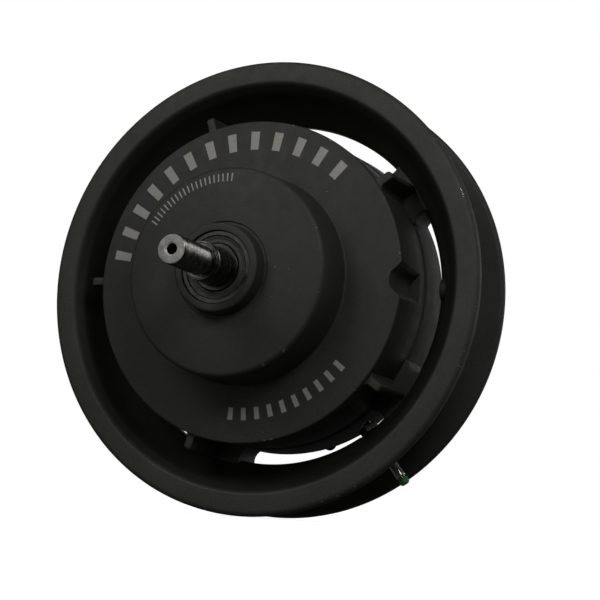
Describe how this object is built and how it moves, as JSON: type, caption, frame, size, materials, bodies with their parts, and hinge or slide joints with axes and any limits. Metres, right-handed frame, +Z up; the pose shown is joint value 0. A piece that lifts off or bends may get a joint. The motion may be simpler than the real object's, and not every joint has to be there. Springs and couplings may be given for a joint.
{
  "type": "hub motor wheel",
  "caption": "Cast wheel rim on short spokes round a brushless hub motor with a stepped cover, turning on a fixed threaded axle.",
  "frame": {"origin": "centre of the rim: on the axle line, half way between the two tyre flanges", "axes": "+Y along the axle towards the cable end, the stepped cover faces -Y; +Z up; +X through the spare valve hole, so the scallop in the cover is on +X at rest"},
  "size_m": [0.23, 0.2128, 0.23],
  "materials": {
    "cast_black": "matte",
    "axle_steel": "satin",
    "bright_steel": "satin",
    "bearing_steel": "polished",
    "cage_brass": "satin",
    "seal_rubber": "matte",
    "spring_steel": "satin",
    "screw_steel": "satin",
    "cast_alloy": "matte",
    "core_steel": "matte",
    "insulator": "matte",
    "copper": "gloss",
    "circuit_board": "gloss",
    "black_plastic": "matte",
    "magnet": "polished",
    "nickel": "polished",
    "brass": "satin",
    "green_plastic": "satin"
  },
  "bodies": {
    "axle_assembly": {"axle": "axle_steel", "front_spacer": "bright_steel", "rear_spacer": "bright_steel", "axle_key": "bright_steel", "front_bearing_inner": "bearing_steel", "rear_bearing_inner": "bearing_steel", "cable_gland": "seal_rubber", "board_screws": "screw_steel", "stator_hub": "cast_alloy", "stator_core": "core_steel", "end_insulator_front": "insulator", "end_insulator_rear": "insulator", "coils_phase_a": "copper", "coils_phase_b": "copper", "coils_phase_c": "copper", "hall_board": "circuit_board", "hall_sensor_1": "black_plastic", "hall_sensor_2": "black_plastic", "hall_sensor_3": "black_plastic", "board_standoffs": "black_plastic"},
    "wheel": {"rim_front_flange": "cast_black", "rim_barrel": "cast_black", "rim_rear_flange": "cast_black", "spoke_1": "cast_black", "spoke_2": "cast_black", "spoke_3": "cast_black", "spoke_4": "cast_black", "spoke_5": "cast_black", "motor_shell": "cast_black", "back_iron": "core_steel", "magnets_north": "magnet", "magnets_south": "magnet", "rear_cover": "cast_black", "cover_gasket": "seal_rubber", "cover_screws": "screw_steel", "front_bearing_outer": "bearing_steel", "rear_bearing_outer": "bearing_steel", "front_bearing_seal": "seal_rubber", "rear_bearing_seal": "seal_rubber", "rear_retaining_ring": "spring_steel", "valve_stem": "nickel", "valve_grommet": "seal_rubber", "valve_nut": "screw_steel", "valve_core": "brass", "valve_cap": "green_plastic"},
    "front_ball_set": {"front_bearing_balls": "bearing_steel", "front_bearing_cage": "cage_brass"},
    "rear_ball_set": {"rear_bearing_balls": "bearing_steel", "rear_bearing_cage": "cage_brass"}
  },
  "joints": [
    {"name": "wheel_spin", "type": "hinge", "parent": "axle_assembly", "child": "wheel", "pos_m": [0, 0, 0], "axis": [0, 1, 0], "continuous": true},
    {"name": "front_balls_spin", "type": "hinge", "parent": "axle_assembly", "child": "front_ball_set", "pos_m": [0, -0.0675, 0], "axis": [0, 1, 0], "continuous": true},
    {"name": "rear_balls_spin", "type": "hinge", "parent": "axle_assembly", "child": "rear_ball_set", "pos_m": [0, 0.0435, 0], "axis": [0, 1, 0], "continuous": true}
  ],
  "couplings": [
    {"joint": "front_balls_spin", "follows": "wheel_spin", "ratio": 0.5795},
    {"joint": "rear_balls_spin", "follows": "wheel_spin", "ratio": 0.5795}
  ]
}
